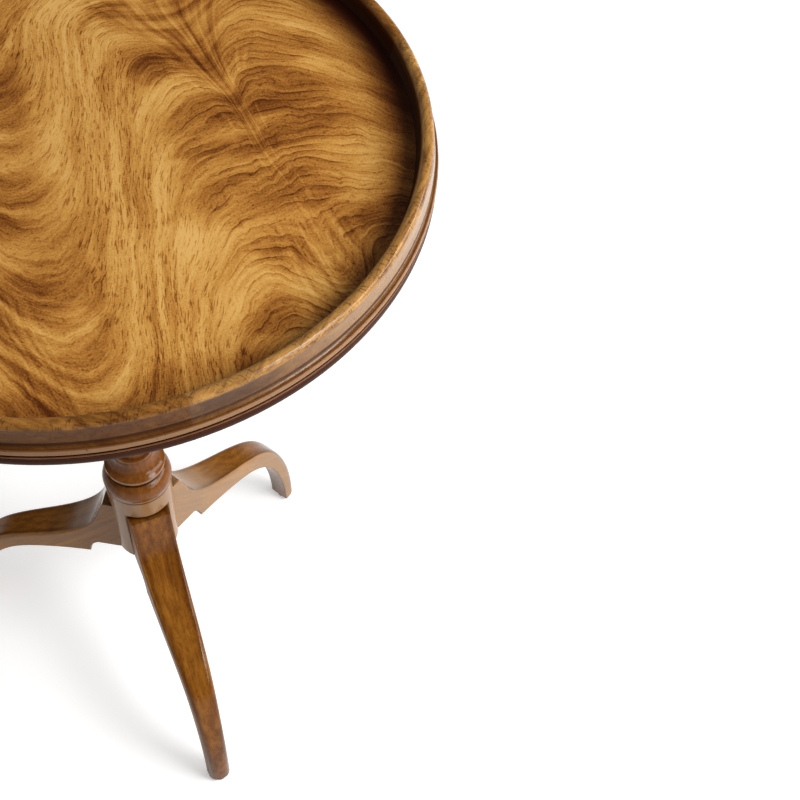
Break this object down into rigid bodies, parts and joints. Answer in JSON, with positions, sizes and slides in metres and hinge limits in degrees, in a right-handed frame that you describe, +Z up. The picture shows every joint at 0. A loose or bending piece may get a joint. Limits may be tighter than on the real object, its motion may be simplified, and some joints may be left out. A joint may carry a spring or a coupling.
{
  "type": "tray top tea table",
  "caption": "Round wooden tea table: a veneered tray with a moulded rim on a turned column with cabriole legs.",
  "frame": {"origin": "on the floor, on the axis of the column", "axes": "+Z up along the column; one leg points to -Y"},
  "size_m": [0.54, 0.54, 0.72],
  "materials": {
    "flame_veneer": "crotch mahogany veneer under a clear gloss polish",
    "rim_wood": "solid mahogany, gloss polish with dark specks and worn edges",
    "edge_wood": "solid mahogany, gloss polish, dark in the grooves",
    "core_board": "plain laminated board, unpolished",
    "backing_veneer": "plain veneer, thin satin stain",
    "bearer_wood": "stained hardwood, satin",
    "wedge_wood": "end grain hardwood, unpolished",
    "column_wood": "turned mahogany, gloss polish, dark in the quirks",
    "leg_wood": "carved mahogany, gloss polish with dark specks and worn edges",
    "strap_iron": "blackened iron strap, dull",
    "screw_steel": "plain steel, slightly darkened",
    "glide_plastic": "dark brown moulded glide"
  },
  "bodies": {
    "root": {"top_veneer": "flame_veneer", "rim_segment_1": "rim_wood", "rim_segment_2": "rim_wood", "rim_segment_3": "rim_wood", "rim_segment_4": "rim_wood", "edge_moulding_1": "edge_wood", "edge_moulding_2": "edge_wood", "edge_moulding_3": "edge_wood", "edge_moulding_4": "edge_wood", "top_core": "core_board", "under_veneer": "backing_veneer", "top_block": "bearer_wood", "bearer_left": "bearer_wood", "bearer_right": "bearer_wood", "tenon_wedge": "wedge_wood", "column": "column_wood", "leg_front": "leg_wood", "leg_right": "leg_wood", "leg_left": "leg_wood", "spider_plate": "strap_iron", "bearer_screws": "screw_steel", "block_screws": "screw_steel", "spider_screws": "screw_steel", "foot_glide_1": "glide_plastic", "foot_glide_2": "glide_plastic", "foot_glide_3": "glide_plastic"}
  },
  "joints": []
}
